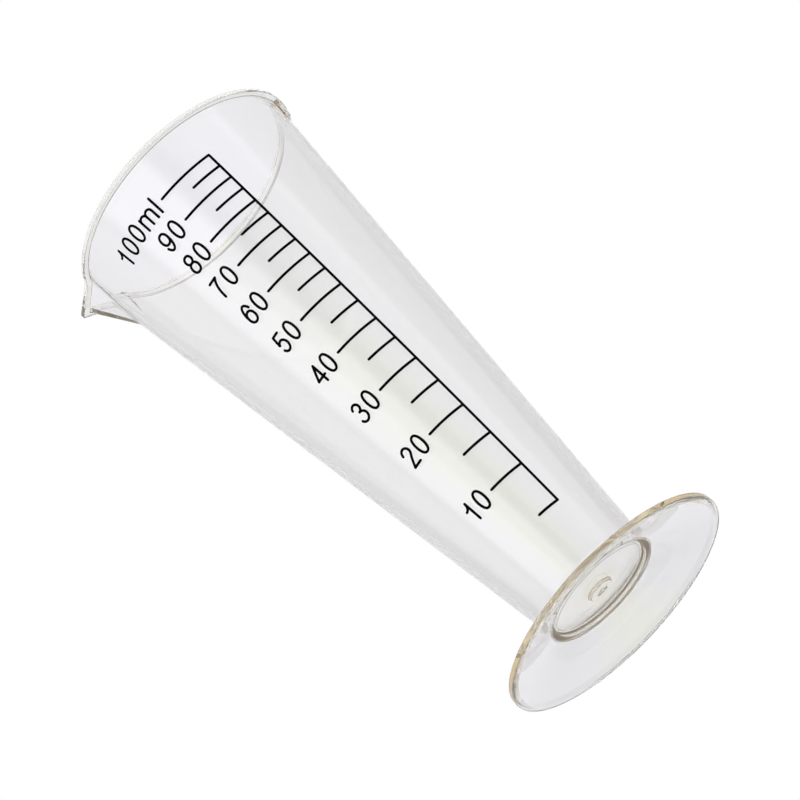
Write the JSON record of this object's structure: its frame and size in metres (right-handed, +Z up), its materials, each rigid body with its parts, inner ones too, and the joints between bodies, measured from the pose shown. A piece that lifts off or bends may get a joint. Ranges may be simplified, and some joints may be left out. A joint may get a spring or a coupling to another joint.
{
  "type": "measuring cup",
  "caption": "Conical measuring cup of clear plastic on a round foot, with a pouring spout, a flanged rim and a printed millilitre scale",
  "frame": {"origin": "on the cup's axis, in the plane that the foot rests on", "axes": "+Z up along the cup's axis, the spout points to -X, and the printed scale is on the side that faces -Y"},
  "size_m": [0.0571, 0.0524, 0.122],
  "materials": {
    "clear_plastic": "clear, polished as moulded, with a faint warm tint through its edges",
    "cement": "clear solvent cement",
    "ink": "black printed ink"
  },
  "bodies": {
    "root": {"cup_body": "clear_plastic", "foot_disc": "clear_plastic", "cement_ring": "cement", "scale_spine": "ink", "mark_5": "ink", "mark_10": "ink", "mark_15": "ink", "mark_20": "ink", "mark_25": "ink", "mark_30": "ink", "mark_35": "ink", "mark_40": "ink", "mark_45": "ink", "mark_50": "ink", "mark_55": "ink", "mark_60": "ink", "mark_65": "ink", "mark_70": "ink", "mark_75": "ink", "mark_80": "ink", "mark_85": "ink", "mark_90": "ink", "mark_95": "ink", "mark_100": "ink", "number_10": "ink", "number_20": "ink", "number_30": "ink", "number_40": "ink", "number_50": "ink", "number_60": "ink", "number_70": "ink", "number_80": "ink", "number_90": "ink", "number_100": "ink", "unit_ml": "ink"}
  },
  "joints": []
}
